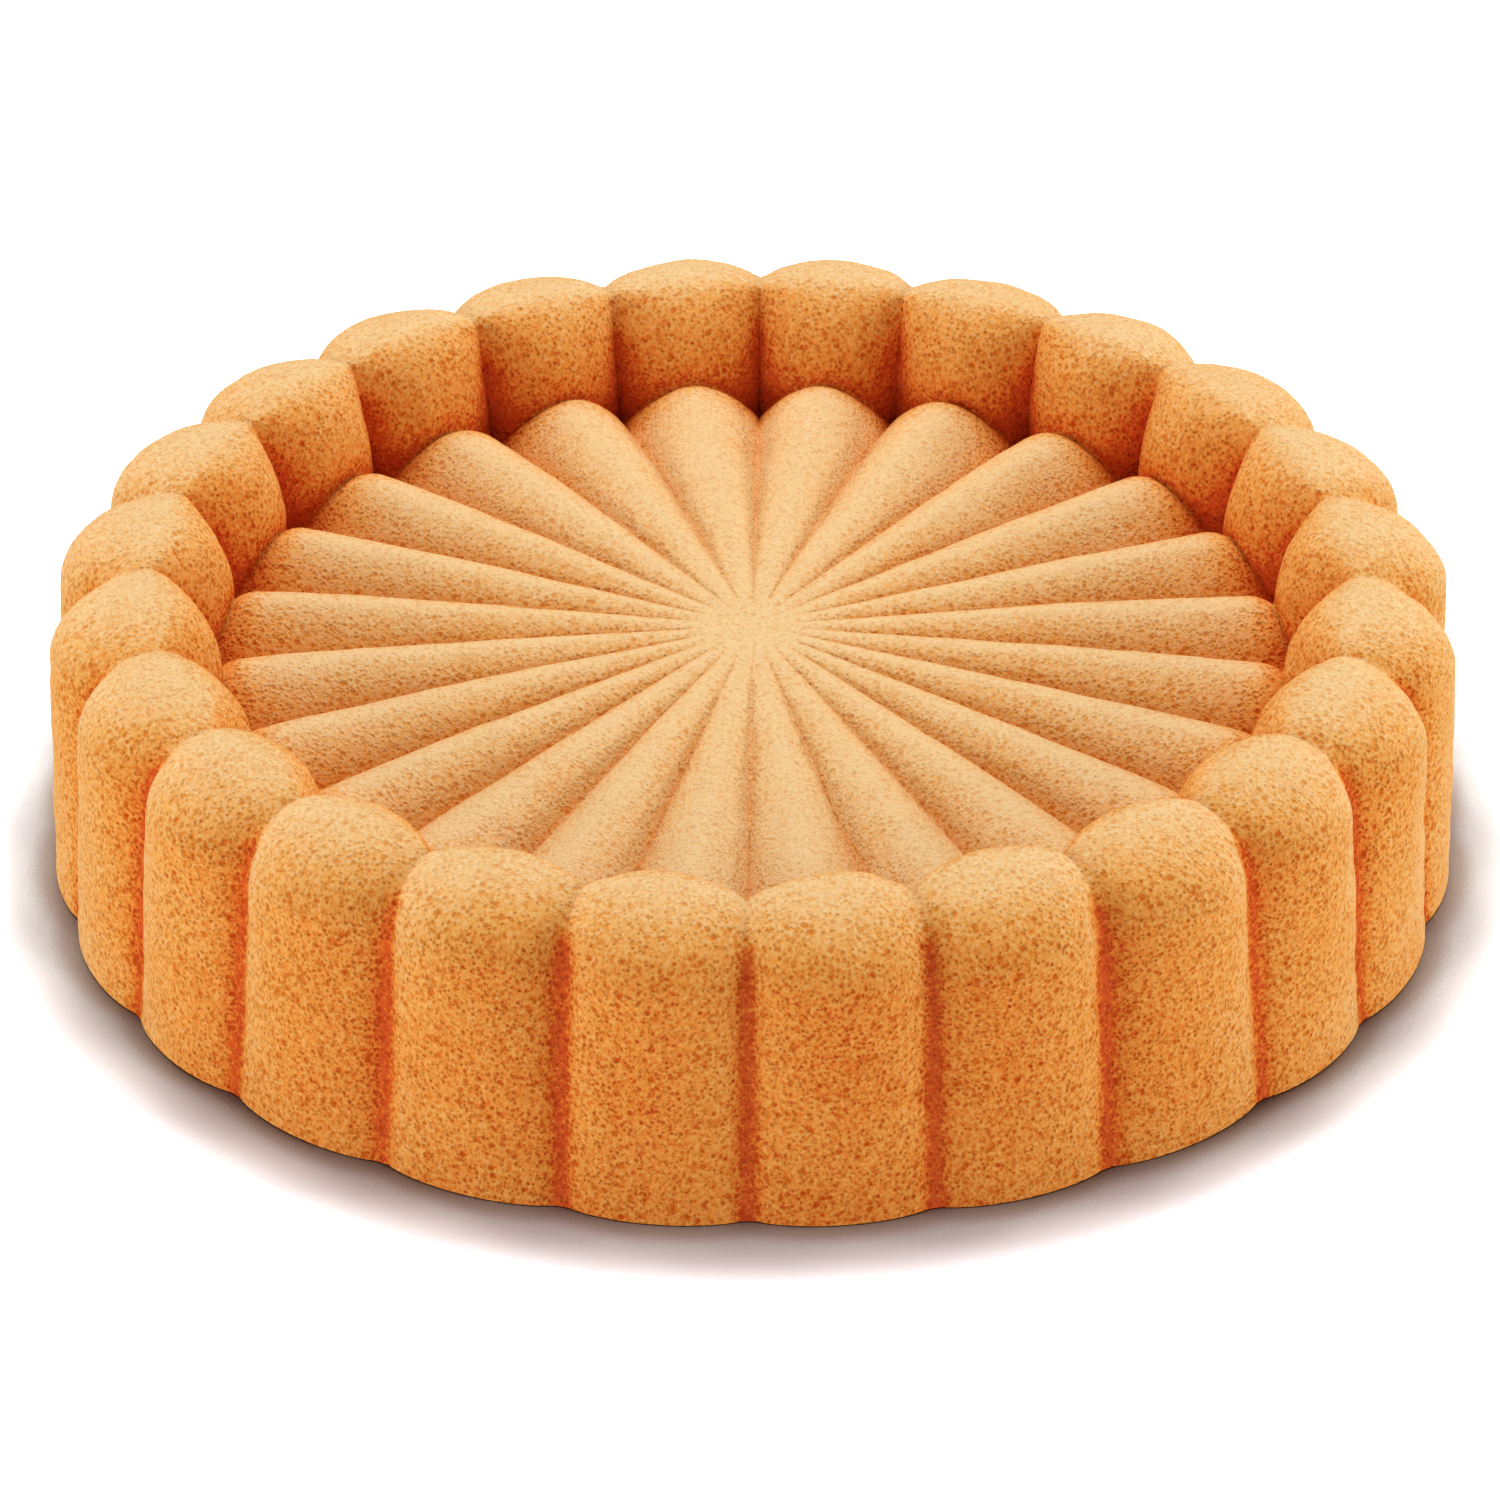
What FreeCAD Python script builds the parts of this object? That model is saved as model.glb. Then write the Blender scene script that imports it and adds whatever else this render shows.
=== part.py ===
import FreeCAD, Part
import math
import os

from FreeCAD import Vector

# A round sponge cake as it comes out of a fluted mould, standing on the side that was cut flat.
# It is one baked piece: a ring of upright rounded lobes around a sunken floor of radial petals.
# Lengths are in millimetres and angles in degrees. The origin is in the middle of the flat
# underside, with +Z up. Grooves lie along +X and +Y, and the lobes stand between the grooves.

lobe_count = 24                 # lobes around the rim, with one petal in line with each

# The outer wall
base_radius = 110.4             # to the front of a lobe, at the cut base
wall_lean = 0.5                 # how much nearer the middle the wall is where its rounding begins
base_groove_depth = 1.8         # the groove between two lobes, at the base
shoulder_groove_depth = 4.8     # the same groove where the rounding begins
lobe_side_angle = 70.0          # how far the front turns on its way to the groove: more is flatter

# The rounded top of the rim
cake_height = 49.7
crest_radius = 93.0             # the highest line of a lobe
crest_groove_depth = 2.5        # how far the rim dips between two lobes
outer_round_height = 11.4       # the rounding from the wall up to the crest
outer_round_fullness = 0.78     # the weight of the curve: 0.71 is an ellipse, more is squarer
inner_round_fullness = 0.9

# The dish inside the rim
dish_radius = 82.7              # to the foot of a lobe
inner_groove_depth = 5.5        # the groove between two lobes, at its foot
floor_height = 37.2             # the top of the petals, where they start at the hub
petal_sag = 0.9                 # how much lower the top of a petal is near the rim
petal_groove_depth = 6.4        # the groove between two petals, near the rim
petal_side_angle = 62.0         # how far the back of a petal turns on its way to the groove
petal_end_length = 3.2          # the end of a petal, which rounds down to the foot of its lobe
petal_end_drop = 1.2
pocket_depth = 3.0              # how much further the groove falls to the foot of the lobes
petal_end_bulge = 0.45          # how far the rounded end stands above a straight slope
hub_radius = 8.0                # the smooth middle, where the petals fade out

# The stations across half a lobe where sections are drawn: 0 is its middle line, 1 the groove
half_stations = (0.0, 0.35, 0.62, 0.82, 0.94, 1.0)

half_pitch = 180.0 / lobe_count
level_tolerance = 0.0001
up_axis = Vector(0, 0, 1)
middle = Vector(0, 0, 0)


def round_fall(share, side_angle):
    """How far a round back has fallen at this share of its half width: 0 in the middle, 1 at the groove."""
    angle = math.radians(side_angle)
    return (1 - math.sqrt(1 - (math.sin(angle) * share) ** 2)) / (1 - math.cos(angle))


def point(radius, height):
    return Vector(radius, 0, height)


def line(start, end):
    return Part.LineSegment(start, end).toShape()


def quarter_round(start, corner, end, fullness):
    """A conic curve from start to end that bends towards the corner."""
    curve = Part.BezierCurve()
    curve.setPoles([start, corner, end])
    curve.setWeight(2, fullness)
    return curve.toShape()


def dish_edges(petal_fall, foot_radius):
    """From the hub out along a petal, and down its rounded end to the foot of the lobe."""
    hub = point(hub_radius, floor_height)
    end = point(foot_radius - petal_end_length, floor_height - petal_sag - petal_groove_depth * petal_fall)
    foot = point(foot_radius, end.z - petal_end_drop - pocket_depth * petal_fall)
    bulge = (end + foot) * 0.5 + up_axis * petal_end_bulge
    return [line(hub, end), Part.Arc(end, bulge, foot).toShape()], foot


def rim_edges(lobe_fall, foot):
    """From the foot of the lobe up over the crest and down the outer wall to the base."""
    crest = point(crest_radius, cake_height - crest_groove_depth * lobe_fall)
    shoulder = point(base_radius - wall_lean - shoulder_groove_depth * lobe_fall, crest.z - outer_round_height)
    base = point(base_radius - base_groove_depth * lobe_fall, 0)
    return [quarter_round(foot, point(foot.x, crest.z), crest, inner_round_fullness),
            quarter_round(crest, point(shoulder.x, crest.z), shoulder, outer_round_fullness),
            line(shoulder, base)]


def section(station):
    """The radial section at this station, turned to its place across the lobe."""
    lobe_fall = round_fall(abs(station), lobe_side_angle)
    petal_fall = round_fall(abs(station), petal_side_angle)
    dish, foot = dish_edges(petal_fall, dish_radius + inner_groove_depth * lobe_fall)
    wire = Part.Wire(dish + rim_edges(lobe_fall, foot))
    wire.rotate(middle, up_axis, station * half_pitch)
    return wire


def lobe_skin():
    """The skin of one lobe and its petal, lofted through the sections from groove to groove."""
    stations = [-station for station in half_stations[:0:-1]] + list(half_stations)
    return Part.makeLoft([section(station) for station in stations], False, False)


def ring_of_skins():
    """The skin of a lobe repeated around the middle."""
    first = lobe_skin()
    skins = []
    for index in range(lobe_count):
        skin = first.copy()
        skin.rotate(middle, up_axis, (2 * index + 1) * half_pitch)
        skins.append(skin)
    return skins


def flat_face(skins, height):
    """The flat face inside the edges that lie level at this height."""
    edges = []
    for skin in skins:
        for edge in skin.Edges:
            if all(abs(vertex.Z - height) < level_tolerance for vertex in edge.Vertexes):
                edges.append(edge)
    return Part.Face(Part.Wire(Part.sortEdges(edges)[0]))


def build_cake():
    """One closed solid: the ring of skins, the flat hub of the dish and the flat underside."""
    skins = ring_of_skins()
    faces = [face for skin in skins for face in skin.Faces]
    faces += [flat_face(skins, floor_height), flat_face(skins, 0)]
    shell = Part.makeShell(faces)
    shell.sewShape()
    cake = Part.makeSolid(shell)
    if cake.Volume < 0:
        cake.reverse()
    return cake


os.makedirs("parts", exist_ok=True)
build_cake().exportStep("parts/sponge_cake.step")
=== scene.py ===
import math
import random
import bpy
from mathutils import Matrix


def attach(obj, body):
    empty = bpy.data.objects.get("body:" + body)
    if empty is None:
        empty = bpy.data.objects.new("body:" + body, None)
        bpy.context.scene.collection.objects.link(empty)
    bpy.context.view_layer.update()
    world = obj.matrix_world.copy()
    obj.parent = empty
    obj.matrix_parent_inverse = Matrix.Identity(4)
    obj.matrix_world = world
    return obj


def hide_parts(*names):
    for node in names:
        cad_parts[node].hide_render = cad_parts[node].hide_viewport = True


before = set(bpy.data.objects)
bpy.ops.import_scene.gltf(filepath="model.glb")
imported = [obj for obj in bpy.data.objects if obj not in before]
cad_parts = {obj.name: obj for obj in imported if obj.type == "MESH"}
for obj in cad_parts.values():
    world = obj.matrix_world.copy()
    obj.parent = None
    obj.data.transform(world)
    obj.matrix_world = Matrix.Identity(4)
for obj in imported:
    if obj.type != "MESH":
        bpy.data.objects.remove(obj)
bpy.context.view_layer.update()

from types import SimpleNamespace

import bpy
import numpy as np
from mathutils import Vector, noise

# The looks of the sponge cake: a fine skin with soft unevenness over the plain solid, a porous
# crumb, and a white studio with soft light. Sizes of the cake are in millimetres, turned into
# metres where the mesh is made. The studio is in metres.

rng = random.Random(24)
MM = 0.001

# The form, as in the solid, with its outside this much smaller so that bumps stay within it
ROOM_FOR_BUMPS = 0.3
LOBE_COUNT = 24
BASE_RADIUS = 110.4 - ROOM_FOR_BUMPS
WALL_LEAN = 0.5
BASE_GROOVE_DEPTH = 1.8
SHOULDER_GROOVE_DEPTH = 4.6
LOBE_SIDE_ANGLE = math.radians(66)
CAKE_HEIGHT = 49.7 - ROOM_FOR_BUMPS
CREST_RADIUS = 92.3
CREST_SHIFT = 1.5               # how much further out the crest lies at the groove
CREST_GROOVE_DEPTH = 2.5
OUTER_ROUND_HEIGHT = 11.4
OUTER_ROUND_FULLNESS = 0.78     # the weight of the curve: more is squarer
INNER_ROUND_FULLNESS = 0.64
INNER_ROUND_SLACK = 0.2         # how much less full it is at the groove
DISH_RADIUS = 82.7
INNER_GROOVE_DEPTH = 5.5
FLOOR_HEIGHT = 37.2
PETAL_SAG = 1.1
PETAL_BEND = 0.7                # where the line of a petal bends, as a share of its way from the hub
PETAL_GROOVE_DEPTH = 6.4
PETAL_SIDE_ANGLE = math.radians(62)
VALLEY_SOFTNESS = 0.15          # the share of a plain wave in the round backs of the petals
PETAL_END_LENGTH = 4.2
PETAL_END_DROP = 1.7
PETAL_END_BULGE = 1.0
PETAL_END_ROUNDING = 6.0        # how much earlier a petal ends at its sides
PETAL_END_SWEEP = 0.95          # how far round the end goes: 1 is a full half circle
POCKET_DEPTH = 3.0
HUB_RADIUS = 6.0
FIRST_RING = 1.2                # the first ring of points around the middle
PLAIN_FULLNESS = 1.0            # that of a plain curve, as along the petals
CIRCLE_FULLNESS = 0.71          # that of a quarter of a circle, as at the base edge
HALF_PITCH = math.pi / LOBE_COUNT
SADDLE_HEIGHT = CAKE_HEIGHT - CREST_GROOVE_DEPTH

# What only the looks have: a narrow flat web at the bottom of each outer groove, from this share
# of the half lobe on, and the worn edge at the base
WEB_START = 0.925
BASE_EDGE = 0.5

# How finely each stretch of the profile and each half lobe is drawn
CELLS = {"hub": 4, "petal": 56, "petal_end": 8, "inner": 22, "outer": 26, "wall": 30, "edge": 5}
DISH_STRETCHES = ("hub", "petal", "petal_end")
INNER_STRETCHES = ("inner",)
OUTSIDE_STRETCHES = ("outer", "wall", "edge")
HALF_LOBE_CELLS = 13
GROOVE_CROWDING = 1.35          # more puts the points closer together at the grooves

# The unevenness: how far the grooves stand off their places, and soft lumps of three sizes
GROOVE_SHIFT = math.radians(0.55)
SHIFT_AT_TOP = 0.3              # the share of that shift at the top of the groove and in the dish
LUMPS = ((16, 0.55), (6, 0.3), (2.6, 0.15))     # size and share of each kind
LUMP_HEIGHT = 0.85
LUMP_CLEARANCE = 0.05           # the tallest lump stays this far below the room for bumps
CALM_RADIUS = 30.0              # lumps fade out from here to the middle
CALM_HEIGHT = 4.0               # and from here down to the base
DISH_CALM = 0.5                 # how much lower they are in the dish
NOISE_STEPS = (17.3, 5.1, 9.7)  # what sets the noise of one kind apart from the next

# The tone of the crust, with painted light and shade in it, 0 in the darkest groove and 1 at its palest: on
# an upright side that faces left or right, less where it faces the front or back (painted shade), more where
# it faces up (painted light from above), and how sharply
OUTSIDE_TONE_AND_LIGHT = {"side": 0.82, "front": 0.43, "up": 0.1, "sharpness": 9}
INNER_TONE_AND_LIGHT = {"side": 0.58, "front": 0.13, "up": 0.27, "sharpness": 3}
DISH_TONE_AND_LIGHT = {"side": 0.85, "front": 0.33, "up": 0.15, "sharpness": 3}
UNDERSIDE_TONE = 0.4

# The painted shade along the grooves, darker lines in the creases: where they start and are full, below the
# saddle between two lobes or out from the middle, how wide they are, and how much wider where the groove is
# deep
OUTER_GROOVE_SHADE = {"strength": 0.8, "start": 1.5, "full": 5.0, "width": 1.1, "widening": 0.7}
INNER_GROOVE_SHADE = {"strength": 0.8, "start": 1.0, "full": 8.0, "width": 1.0, "widening": 2.4}
VALLEY_SHADE = {"strength": 0.05, "start": 10.0, "full": 40.0, "width": 1.0, "widening": 0.0}
DEEP_GROOVE = 14.0              # how far below the saddle a groove counts as deep
# Painted shade at the foot of the lobes, partly browner crust there, and painted shade in the pockets between
# petal ends and lobes
FOOT_SHADE = {"inner": 0.6, "dish": 0.45, "width": 3.2, "wider_in_dish": 1.3}
POCKET_SHADE = {"strength": 0.68, "width": 5.0, "reach": 7.5}

# The colour of the crust by its tone, which holds painted light and shade, and the tint of painted shade in a
# pit and how strong that is
CRUST_COLOURS = ((0.0, (0.68, 0.11, 0.028, 1)), (0.16, (0.72, 0.103, 0.017, 1)),
                 (0.38, (0.86, 0.28, 0.042, 1)), (0.6, (0.92, 0.425, 0.1, 1)), (1.0, (0.96, 0.66, 0.33, 1)))
PIT_SHADE_COLOUR = (0.84, 0.52, 0.26, 1)
PIT_SHADING = 0.85

# The patterns of the crumb: features per millimetre, detail, roughness and, where it isn't all
# used, the range that is
BROAD = {"scale": 0.06, "detail": 3.0, "rough": 0.5}
GRAIN = {"scale": 1.6, "detail": 3.0, "rough": 0.65, "range": (0.32, 0.68)}
PATCHES = {"scale": 0.25, "detail": 2.0, "rough": 0.5, "range": (0.4, 0.55)}
STIR_SCALE = 1.6                # the noise that bends the outlines of the pores
STIR_REACH = 0.3                # in millimetres

# The pores: cells per millimetre, how far from its middle a pit begins to rise, and where it ends
SMALL_PORES = {"scale": 1.35, "bottom": 0.02, "rim": 0.42}
MIDDLING_PORES = {"scale": 0.9, "bottom": 0.05, "rim": 0.38}
LARGE_PORES = {"scale": 0.55, "bottom": 0.14, "rim": 0.36}
SMALL_PORE_DEPTH = 0.85         # as a share of the depth of the others

# How far each pattern moves the tone, what it does to the relief, and where pale crust is smooth
BROAD_MIDDLE, BROAD_EFFECT = 0.5, 0.25
GRAIN_MIDDLE, GRAIN_EFFECT = 0.42, 0.4
# The pits darken the tone: painted shade in them
PIT_SHADE_EFFECT = 0.16
GRAIN_RELIEF = 0.4
RELIEF_HEIGHT = 0.0003          # in metres
SMOOTH_FROM, SMOOTH_TO, SMOOTHNESS = 0.55, 0.95, 0.55
CRUMB_ROUGHNESS = 0.8

# The studio: white paper, a faint light all round, and four soft lamps
FLOOR_HALF = 4.0
PAPER_WHITE = 0.93
SHADOW_REACH, SHADOW_POWER = 0.023, 3.0         # the soft shadow painted on the paper around the cake
CONTACT_SHADOW_REACH = 0.005                           # the darker shadow painted where it touches the paper
SHADOW_SAMPLES = 4
PAPER_SEEN = ((2.3, 1.0), (2.45, 1.6), (2.6, 2.0))      # brightness and painted contact shadow in red, green, blue
AMBIENT = 0.3
LAMP_TARGET = (0, 0, 0.02)
# Place, width and height, and power in watts
LAMPS = {"overhead": ((0.0, 0.8, 1.7), (1.4, 0.9), 25.6), "left": ((-1.15, -0.55, 0.26), (0.7, 0.4), 5.9),
         "right": ((1.28, -0.25, 0.26), (0.7, 0.4), 6.8), "front": ((-0.2, -1.6, 0.3), (1.0, 0.4), 3.1)}

# The camera stands on a slope up from a pivot inside the cake, and looks at a point near it
CAMERA_DISTANCE = 1.25
CAMERA_RISE = math.radians(31.48)
CAMERA_TURN = math.radians(0.58)
CAMERA_PIVOT = 0.020            # the height of the pivot
CAMERA_TARGET = (-0.00042, 0, 0.0147)
SENSOR_WIDTH = 36.0             # in millimetres, as is the focal length
FOCAL_LENGTH = 190.98


def round_fall(share, side_angle):
    """How far a round back has fallen at this share of its half width: 0 in the middle, 1 at the groove."""
    return (1 - np.sqrt(1 - (math.sin(side_angle) * share) ** 2)) / (1 - math.cos(side_angle))


def conic(start, corner, end, fullness, steps):
    """Points along the curve from start to end that bends towards the corner. Leaves out the first one."""
    points = []
    for step in range(1, steps + 1):
        t = step / steps
        weights = (1 - t) ** 2, 2 * t * (1 - t) * fullness, t ** 2
        total = sum(weights)
        points.append([sum(w * p[axis] for w, p in zip(weights, (start, corner, end))) / total
                       for axis in range(2)])
    return points


def straight(start, end, steps):
    """Evenly spaced points along the line from start to end. Leaves out the first one."""
    return [[start[axis] + (end[axis] - start[axis]) * step / steps for axis in range(2)]
            for step in range(1, steps + 1)]


def petal_line(share, foot_radius):
    """From the middle out along a petal, and down its rounded end to the foot of the lobe."""
    wave = (1 - math.cos(math.pi * share)) / 2
    petal_fall = (1 - VALLEY_SOFTNESS) * round_fall(share, PETAL_SIDE_ANGLE) + VALLEY_SOFTNESS * wave
    rounding = PETAL_END_ROUNDING * (1 - math.sqrt(1 - PETAL_END_SWEEP * share * share))
    end_radius = foot_radius - PETAL_END_LENGTH - rounding
    valley = FLOOR_HEIGHT - PETAL_GROOVE_DEPTH * petal_fall
    half_pocket = POCKET_DEPTH * petal_fall / 2
    hub = (HUB_RADIUS, FLOOR_HEIGHT)
    bend = (HUB_RADIUS + PETAL_BEND * (end_radius - HUB_RADIUS),
            FLOOR_HEIGHT + PETAL_BEND * (valley - FLOOR_HEIGHT))
    end = (end_radius, valley - PETAL_SAG - half_pocket)
    foot = (foot_radius, end[1] - PETAL_END_DROP - half_pocket)
    brow = ((end[0] + foot[0]) / 2, (end[1] + foot[1]) / 2 + PETAL_END_BULGE)
    points = straight((FIRST_RING, FLOOR_HEIGHT), hub, CELLS["hub"])
    points += conic(hub, bend, end, PLAIN_FULLNESS, CELLS["petal"])
    return points + conic(end, brow, foot, PLAIN_FULLNESS, CELLS["petal_end"])


def rim_line(share, foot):
    """From the foot of the lobe up over the crest, down the outer wall and round the base edge."""
    lobe_fall = round_fall(share, LOBE_SIDE_ANGLE)
    outer_fall = round_fall(min(share, WEB_START), LOBE_SIDE_ANGLE) / round_fall(WEB_START, LOBE_SIDE_ANGLE)
    fullness = INNER_ROUND_FULLNESS - INNER_ROUND_SLACK * lobe_fall
    crest = (CREST_RADIUS + CREST_SHIFT * lobe_fall, CAKE_HEIGHT - CREST_GROOVE_DEPTH * lobe_fall)
    shoulder = (BASE_RADIUS - WALL_LEAN - SHOULDER_GROOVE_DEPTH * outer_fall, crest[1] - OUTER_ROUND_HEIGHT)
    base = (BASE_RADIUS - BASE_GROOVE_DEPTH * outer_fall, 0.0)
    edge = (base[0], BASE_EDGE)
    points = conic(foot, (foot[0], crest[1]), crest, fullness, CELLS["inner"])
    points += conic(crest, (shoulder[0], crest[1]), shoulder, OUTER_ROUND_FULLNESS, CELLS["outer"])
    points += straight(shoulder, edge, CELLS["wall"])
    return points + conic(edge, base, (base[0] - BASE_EDGE, 0.0), CIRCLE_FULLNESS, CELLS["edge"])


def profile(share):
    """Radius and height along the radial section at this share of the way to the groove."""
    foot_radius = DISH_RADIUS + INNER_GROOVE_DEPTH * round_fall(share, LOBE_SIDE_ANGLE)
    points = petal_line(share, foot_radius)
    return np.array(points + rim_line(share, points[-1]))


def points_of(stretches, columns):
    """1 for every point whose row lies in one of these stretches, 0 for the others."""
    rows = [float(name in stretches) for name, count in CELLS.items() for _ in range(count)]
    return np.array(rows)[:, None] * np.ones((1, columns))


def skin_grid():
    """The regular skin as rows by columns: radius and height, the place across the lobe, the number
    of the lobe, the part that the point lies in, and how near and how deep its groove is."""
    steps = np.linspace(0, 1, HALF_LOBE_CELLS + 1)
    half = 1 - (1 - steps) ** GROOVE_CROWDING
    shares = np.concatenate([-half[:0:-1], half[:-1]])
    profiles = [profile(abs(share)) for share in shares]
    radius = np.tile(np.array([line[:, 0] for line in profiles]).T, LOBE_COUNT)
    height = np.tile(np.array([line[:, 1] for line in profiles]).T, LOBE_COUNT)
    share = np.tile(shares, LOBE_COUNT)
    columns = len(share)
    return SimpleNamespace(
        radius=radius, height=height, share=share, lobe=np.repeat(np.arange(LOBE_COUNT), len(shares)),
        dish=points_of(DISH_STRETCHES, columns), inner=points_of(INNER_STRETCHES, columns),
        outside=points_of(OUTSIDE_STRETCHES, columns), to_groove=(1 - np.abs(share)) * radius * HALF_PITCH,
        deep=np.clip((SADDLE_HEIGHT - height) / DEEP_GROOVE, 0, 1))


def uneven_azimuth(grid):
    """The azimuth of every point: no two grooves stand quite alike, most of all near the base."""
    shifts = np.array([rng.uniform(-1, 1) for _ in range(LOBE_COUNT)])
    before, after = shifts[grid.lobe], shifts[(grid.lobe + 1) % LOBE_COUNT]
    shift = before + (after - before) * (grid.share + 1) / 2
    regular = (2 * grid.lobe + 1 + grid.share) * HALF_PITCH
    down = np.clip((SADDLE_HEIGHT - grid.height) / SADDLE_HEIGHT, 0, 1) * grid.outside
    return regular + GROOVE_SHIFT * shift * (SHIFT_AT_TOP + (1 - SHIFT_AT_TOP) * down)


def outward(points):
    """The outward direction at each point, from its neighbours."""
    along = np.gradient(points, axis=0)
    around = np.roll(points, -1, axis=1) - np.roll(points, 1, axis=1)
    normal = np.cross(along, around)
    return normal / np.linalg.norm(normal, axis=-1, keepdims=True)


def smooth_noise(points, size, kind):
    """Soft noise between -1 and 1 with features of about this size in millimetres."""
    offset = Vector([kind * step for step in NOISE_STEPS])
    return np.array([noise.noise(Vector(point) / size + offset) for point in points])


def lumps(points, grid):
    """How far the crust swells or sinks at each point."""
    flat = points.reshape(-1, 3)
    swell = sum(part * smooth_noise(flat, size, kind) for kind, (size, part) in enumerate(LUMPS, 1))
    fade = np.clip(grid.radius / CALM_RADIUS, 0, 1) * (1 - DISH_CALM * grid.dish)
    swell = np.minimum(LUMP_HEIGHT * swell.reshape(fade.shape) * fade, ROOM_FOR_BUMPS - LUMP_CLEARANCE)
    return swell * np.clip(grid.height / CALM_HEIGHT, 0, 1)


def soft_step(values, low, high):
    share = np.clip((values - low) / (high - low), 0, 1)
    return share * share * (3 - 2 * share)


def band(distance, width):
    """1 on a line, falling softly to nothing on both sides of it."""
    return np.exp(-(distance / width) ** 2)


def groove_shade(line, along, grid):
    """The painted shade of the line along a groove."""
    shade = line["strength"] * soft_step(along, line["start"], line["full"])
    return shade * band(grid.to_groove, line["width"] + line["widening"] * grid.deep)


def painted_shade_lines(grid):
    """How much painted shade each kind of groove, the foot of the lobes and the pockets take from the tone.
    """
    foot_row = sum(CELLS[name] for name in DISH_STRETCHES) - 1
    from_foot = np.hypot(grid.radius - grid.radius[foot_row], grid.height - grid.height[foot_row])
    foot = FOOT_SHADE["inner"] * grid.inner + FOOT_SHADE["dish"] * grid.dish
    foot = foot * band(from_foot, FOOT_SHADE["width"] + FOOT_SHADE["wider_in_dish"] * grid.dish)
    pocket = POCKET_SHADE["strength"] * (1 - grid.outside)
    pocket = pocket * band(grid.to_groove, POCKET_SHADE["width"]) * band(from_foot, POCKET_SHADE["reach"])
    below_saddle = np.clip(SADDLE_HEIGHT - grid.height, 0, None)
    return (grid.outside * groove_shade(OUTER_GROOVE_SHADE, below_saddle, grid),
            grid.inner * groove_shade(INNER_GROOVE_SHADE, below_saddle, grid),
            grid.dish * groove_shade(VALLEY_SHADE, grid.radius, grid), foot, pocket)


def crust_with_painted_light(grid, normal):
    """How pale the crust is drawn, with painted light and shade: palest where it faces up (painted light from
    above), browner down the sides that face the front or back (painted shade), reddest in the grooves
    (painted shade).
    """
    upward = np.clip(normal[..., 2], 0, 1)
    front, back = np.clip(-normal[..., 1], 0, 1), np.clip(normal[..., 1], 0, 1)
    # Painted light and shade: faces that turn left or right are paler, faces that turn to the front or back
    # browner, and faces that turn up palest
    parts = ((grid.outside, OUTSIDE_TONE_AND_LIGHT, front + back * grid.deep), (grid.inner, INNER_TONE_AND_LIGHT, front + back),
             (grid.dish, DISH_TONE_AND_LIGHT, front + back))
    tone_and_painted_light = sum(part * (kind["side"] - kind["front"] * facing + kind["up"] * upward ** kind["sharpness"])
               for part, kind, facing in parts)
    # The grooves, the feet of the lobes and the pockets take away painted shade
    for shade in painted_shade_lines(grid):
        tone_and_painted_light = tone_and_painted_light * (1 - shade)
    return np.clip(tone_and_painted_light, 0, 1)


def build_skin():
    """The points of the uneven skin, as rows by columns, and the tone of the crust at each, with painted
    light and shade in it.
    """
    grid = skin_grid()
    azimuth = uneven_azimuth(grid)
    points = np.stack([np.cos(azimuth) * grid.radius, np.sin(azimuth) * grid.radius, grid.height], -1)
    normal = outward(points)
    uneven = points + normal * lumps(points, grid)[..., None]
    uneven[-1, :, 2] = 0.0
    return uneven, crust_with_painted_light(grid, normal)


def skin_faces(rows, columns, hub, underside):
    """The faces between neighbouring points, closed by a fan in the middle and one below."""
    last = (rows - 1) * columns
    faces = []
    for column in range(columns):
        following = (column + 1) % columns
        faces.append((hub, column, following))
        faces.append((underside, last + following, last + column))
        for start in range(0, last, columns):
            a, b = start + column, start + following
            faces.append((a, a + columns, b + columns, b))
    return faces


def make_mesh(points, tone_and_painted_light):
    rows, columns = tone_and_painted_light.shape
    hub, underside = rows * columns, rows * columns + 1
    vertices = [tuple(point * MM) for point in points.reshape(-1, 3)]
    vertices += [(0.0, 0.0, float(points[0, :, 2].mean()) * MM), (0.0, 0.0, 0.0)]
    mesh = bpy.data.meshes.new("cake_skin")
    mesh.from_pydata(vertices, [], skin_faces(rows, columns, hub, underside))
    # The tone carries painted light and shade as well as the colour of the crust
    layer = mesh.attributes.new("tone_and_painted_light", "FLOAT", "POINT")
    layer.data.foreach_set("value", [*tone_and_painted_light.reshape(-1).tolist(), float(tone_and_painted_light[0, 0]), UNDERSIDE_TONE])
    mesh.shade_smooth()
    mesh.update()
    # The grooves stay sharp: they lie along the first column of each lobe
    for edge in mesh.edges:
        first, second = [vertex % columns for vertex in edge.vertices]
        edge.use_edge_sharp = first == second and first % (2 * HALF_LOBE_CELLS) == 0
    cake = bpy.data.objects.new("cake_skin", mesh)
    bpy.context.scene.collection.objects.link(cake)
    return cake


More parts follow.
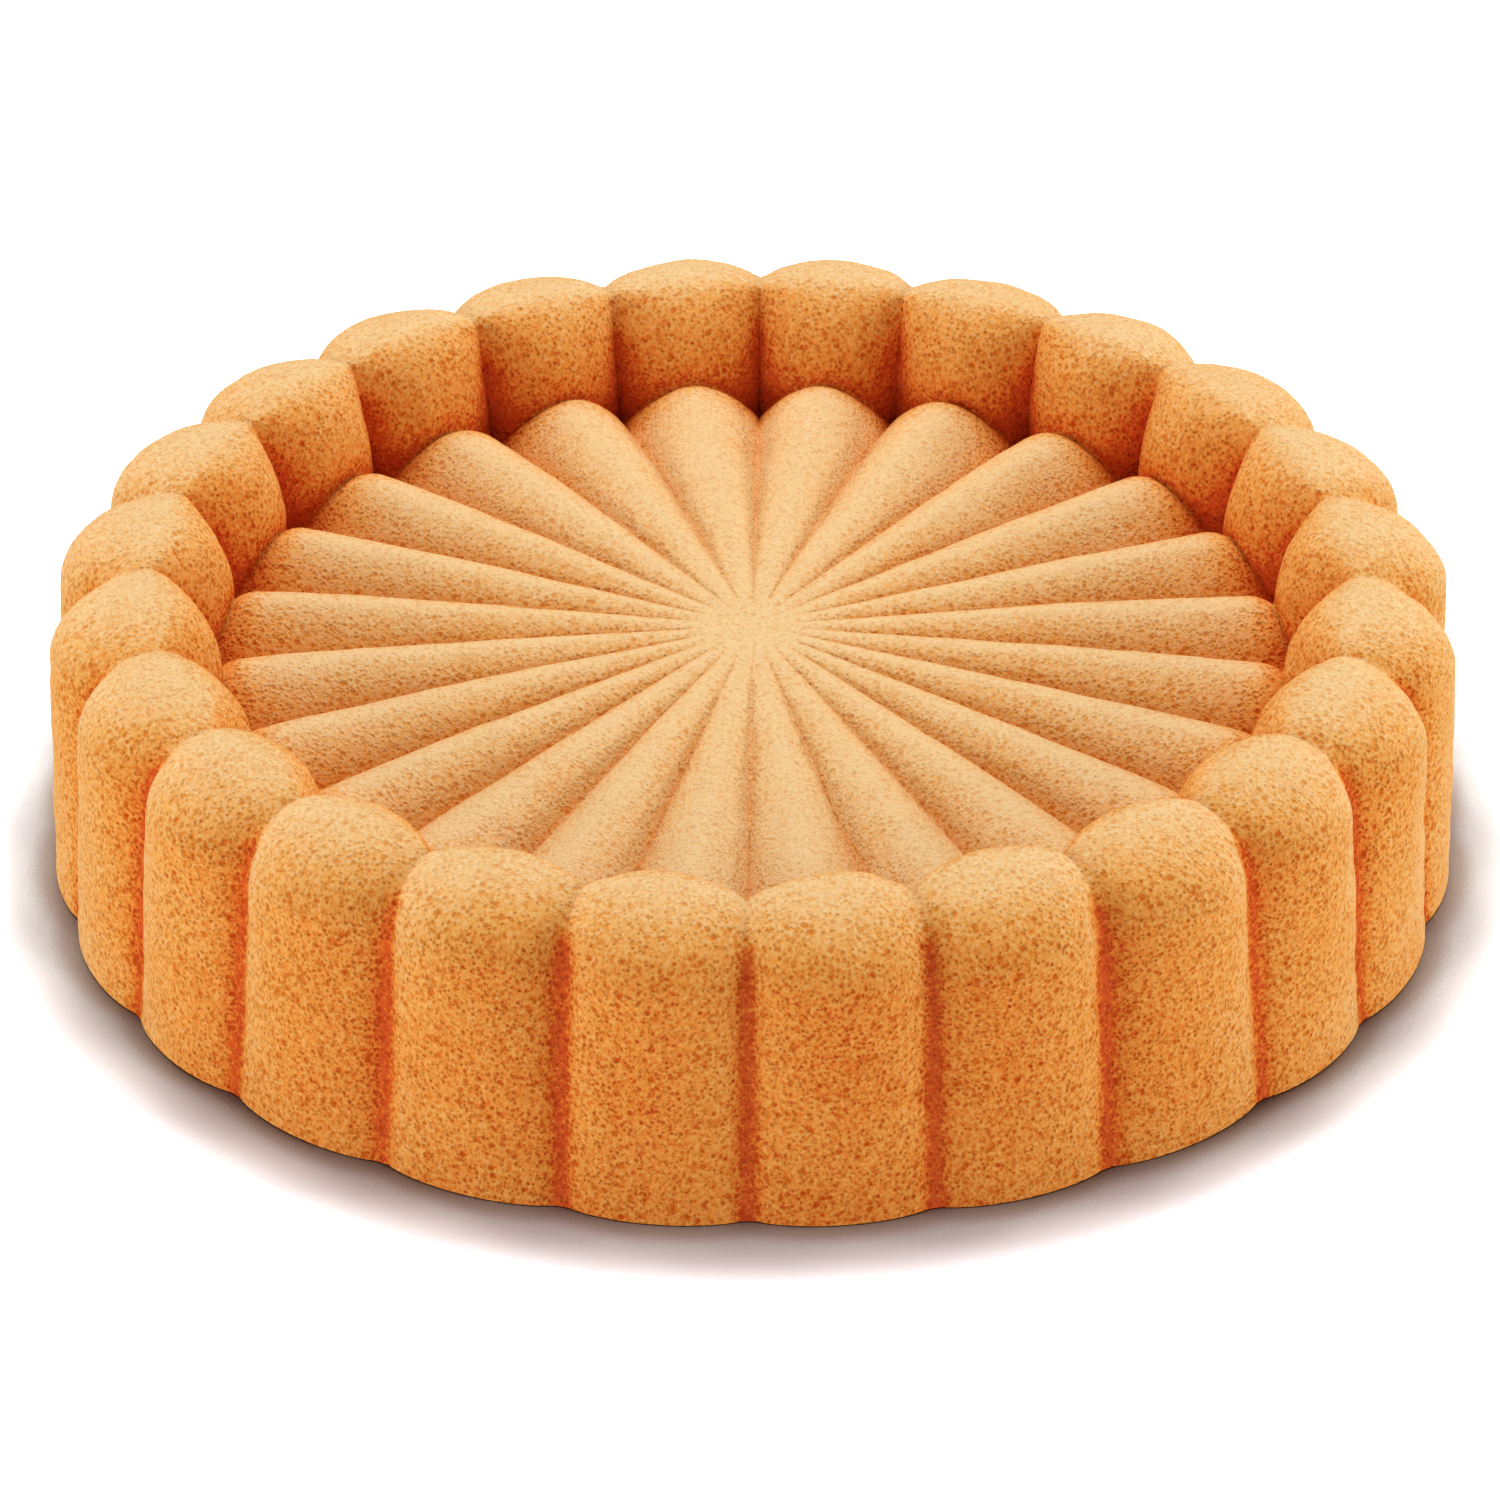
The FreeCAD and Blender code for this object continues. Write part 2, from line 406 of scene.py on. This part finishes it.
class Nodes:
    """Short ways to add nodes to a material or to the world."""

    def __init__(self, owner):
        owner.use_nodes = True
        self.tree = owner.node_tree
        self.tree.nodes.clear()

    def add(self, kind, inputs=None, **settings):
        node = self.tree.nodes.new(kind)
        for key, value in settings.items():
            setattr(node, key, value)
        for key, value in (inputs or {}).items():
            if isinstance(value, bpy.types.NodeSocket):
                self.tree.links.new(value, node.inputs[key])
            else:
                node.inputs[key].default_value = value
        return node

    def math(self, operation, a, b, clamp=False):
        return self.add("ShaderNodeMath", {0: a, 1: b}, operation=operation, use_clamp=clamp).outputs[0]

    def ramp(self, value, low, high):
        return self.add("ShaderNodeMapRange", {0: value, 1: low, 2: high, 3: 0.0, 4: 1.0}).outputs[0]

    def pattern(self, place, kind):
        value = self.add("ShaderNodeTexNoise", {
            "Vector": place, "Scale": kind["scale"], "Detail": kind["detail"],
            "Roughness": kind["rough"]}).outputs["Fac"]
        return self.ramp(value, *kind["range"]) if "range" in kind else value

    def pores(self, place, kind):
        """1 in the middle of each pore, 0 between them."""
        cells = self.add("ShaderNodeTexVoronoi", {"Vector": place, "Scale": kind["scale"], "Randomness": 1.0})
        rise = self.ramp(cells.outputs["Distance"], kind["bottom"], kind["rim"])
        return self.math("SUBTRACT", 1.0, rise, clamp=True)

    def offset(self, value, middle, effect):
        """How far a pattern around this middle moves the tone."""
        return self.math("MULTIPLY", self.math("SUBTRACT", value, middle), effect)


def crumb_pits(n, millimetres, tone_and_painted_light):
    """The pores of the crumb. The palest crust is the smoothest."""
    stir = n.add("ShaderNodeTexNoise", {"Vector": millimetres, "Scale": STIR_SCALE, "Detail": 1.0})
    stirred = n.add("ShaderNodeVectorMath", {0: stir.outputs["Color"], 1: (STIR_REACH,) * 3, 2: millimetres},
                    operation="MULTIPLY_ADD").outputs[0]
    small, middling, large = [n.pores(stirred, kind) for kind in (SMALL_PORES, MIDDLING_PORES, LARGE_PORES)]
    small = n.math("MULTIPLY", small, SMALL_PORE_DEPTH)
    large = n.math("MULTIPLY", large, n.pattern(millimetres, PATCHES))
    pits = n.math("MAXIMUM", n.math("MAXIMUM", small, middling), large)
    smooth = n.math("MULTIPLY", n.ramp(tone_and_painted_light, SMOOTH_FROM, SMOOTH_TO), SMOOTHNESS)
    return n.math("MULTIPLY", pits, n.math("SUBTRACT", 1.0, smooth))


def crust_colour(n, shade, pits):
    """The tone of the crust, painted light and shade included, sets its colour: red brown, brown, orange,
    pale gold. Pits are darker with painted shade.
    """
    ramp = n.add("ShaderNodeValToRGB", {"Fac": shade})
    stops = ramp.color_ramp.elements
    for position, _ in CRUST_COLOURS[1:-1]:
        stops.new(position)
    for stop, (_, colour) in zip(stops, CRUST_COLOURS):
        stop.color = colour
    factor = n.math("MULTIPLY", pits, PIT_SHADING)
    return n.add("ShaderNodeMix", {0: factor, 6: ramp.outputs["Color"], 7: PIT_SHADE_COLOUR},
                 data_type="RGBA", blend_type="MULTIPLY").outputs[2]


def crumb_material():
    material = bpy.data.materials.new("crumb")
    n = Nodes(material)
    place = n.add("ShaderNodeTexCoord").outputs["Object"]
    millimetres = n.add("ShaderNodeVectorMath", {0: place, 3: 1 / MM}, operation="SCALE").outputs[0]
    tone_and_painted_light = n.add("ShaderNodeAttribute", attribute_name="tone_and_painted_light").outputs["Fac"]
    pits = crumb_pits(n, millimetres, tone_and_painted_light)
    broad, grain = n.pattern(millimetres, BROAD), n.pattern(millimetres, GRAIN)

    shade = n.math("ADD", tone_and_painted_light, n.offset(broad, BROAD_MIDDLE, BROAD_EFFECT))
    shade = n.math("ADD", shade, n.offset(grain, GRAIN_MIDDLE, GRAIN_EFFECT))
    # The pits take away tone: painted shade
    shade = n.math("SUBTRACT", shade, n.math("MULTIPLY", pits, PIT_SHADE_EFFECT), clamp=True)
    relief = n.math("SUBTRACT", n.math("MULTIPLY", grain, GRAIN_RELIEF), pits)
    bump = n.add("ShaderNodeBump", {"Strength": 1.0, "Distance": RELIEF_HEIGHT, "Height": relief}).outputs[0]
    surface = n.add("ShaderNodeBsdfPrincipled", {
        "Base Color": crust_colour(n, shade, pits), "Roughness": CRUMB_ROUGHNESS, "Specular IOR Level": 0.0,
        "Normal": bump})
    n.add("ShaderNodeOutputMaterial", {"Surface": surface.outputs[0]})
    return material


def floor_material():
    """White paper. The camera sees it brighter than it lights the cake, with a painted shadow close around
    it.
    """
    material = bpy.data.materials.new("studio_white")
    n = Nodes(material)
    near, touching_shadow = [
        n.add("ShaderNodeAmbientOcclusion", {"Distance": reach}, samples=SHADOW_SAMPLES).outputs["AO"]
        for reach in (SHADOW_REACH, CONTACT_SHADOW_REACH)]
    soft_shadow = n.math("POWER", near, SHADOW_POWER)
    colours = [n.math("MULTIPLY", n.math("MULTIPLY", soft_shadow, brightness), n.math("POWER", touching_shadow, contact))
               for brightness, contact in PAPER_SEEN]
    paper = n.add("ShaderNodeCombineColor", dict(enumerate(colours))).outputs[0]
    dim = n.add("ShaderNodeBsdfDiffuse", {"Color": (PAPER_WHITE, PAPER_WHITE, PAPER_WHITE, 1)}).outputs[0]
    bright = n.add("ShaderNodeBsdfDiffuse", {"Color": paper}).outputs[0]
    seen = n.add("ShaderNodeLightPath").outputs["Is Camera Ray"]
    both = n.add("ShaderNodeMixShader", {0: seen, 1: dim, 2: bright}).outputs[0]
    n.add("ShaderNodeOutputMaterial", {"Surface": both})
    return material


def add_floor():
    near, far = -FLOOR_HALF, FLOOR_HALF
    mesh = bpy.data.meshes.new("floor")
    mesh.from_pydata([(near, near, 0), (far, near, 0), (far, far, 0), (near, far, 0)], [], [(0, 1, 2, 3)])
    mesh.materials.append(floor_material())
    floor = bpy.data.objects.new("floor", mesh)
    bpy.context.scene.collection.objects.link(floor)


def aim(thing, place, target):
    thing.location = place
    thing.rotation_euler = (Vector(target) - Vector(place)).to_track_quat("-Z", "Y").to_euler()
    bpy.context.scene.collection.objects.link(thing)


def add_lamps():
    for name, (place, size, power) in LAMPS.items():
        light = bpy.data.lights.new(name, "AREA")
        light.shape = "RECTANGLE"
        light.size, light.size_y = size
        light.energy = power
        aim(bpy.data.objects.new(name, light), place, LAMP_TARGET)


def add_world():
    """The camera sees white. The cake gets a faint light from all round."""
    world = bpy.data.worlds.new("studio")
    bpy.context.scene.world = world
    n = Nodes(world)
    around, behind = [n.add("ShaderNodeBackground", {"Color": (1, 1, 1, 1), "Strength": strength}).outputs[0]
                      for strength in (AMBIENT, 1.0)]
    seen = n.add("ShaderNodeLightPath").outputs["Is Camera Ray"]
    both = n.add("ShaderNodeMixShader", {0: seen, 1: around, 2: behind}).outputs[0]
    n.add("ShaderNodeOutputWorld", {"Surface": both})


def add_camera():
    level = CAMERA_DISTANCE * math.cos(CAMERA_RISE)
    place = (level * math.sin(CAMERA_TURN), -level * math.cos(CAMERA_TURN),
             CAMERA_DISTANCE * math.sin(CAMERA_RISE) + CAMERA_PIVOT)
    lens = bpy.data.cameras.new("camera")
    lens.sensor_width = SENSOR_WIDTH
    lens.lens = FOCAL_LENGTH
    camera = bpy.data.objects.new("camera", lens)
    aim(camera, place, CAMERA_TARGET)
    bpy.context.scene.camera = camera


points, tone_and_painted_light = build_skin()
cake = make_mesh(points, tone_and_painted_light)
cake.data.materials.append(crumb_material())
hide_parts("sponge_cake")
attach(cake, "root")

add_floor()
add_world()
add_lamps()
add_camera()
bpy.context.scene.view_settings.view_transform = "Standard"
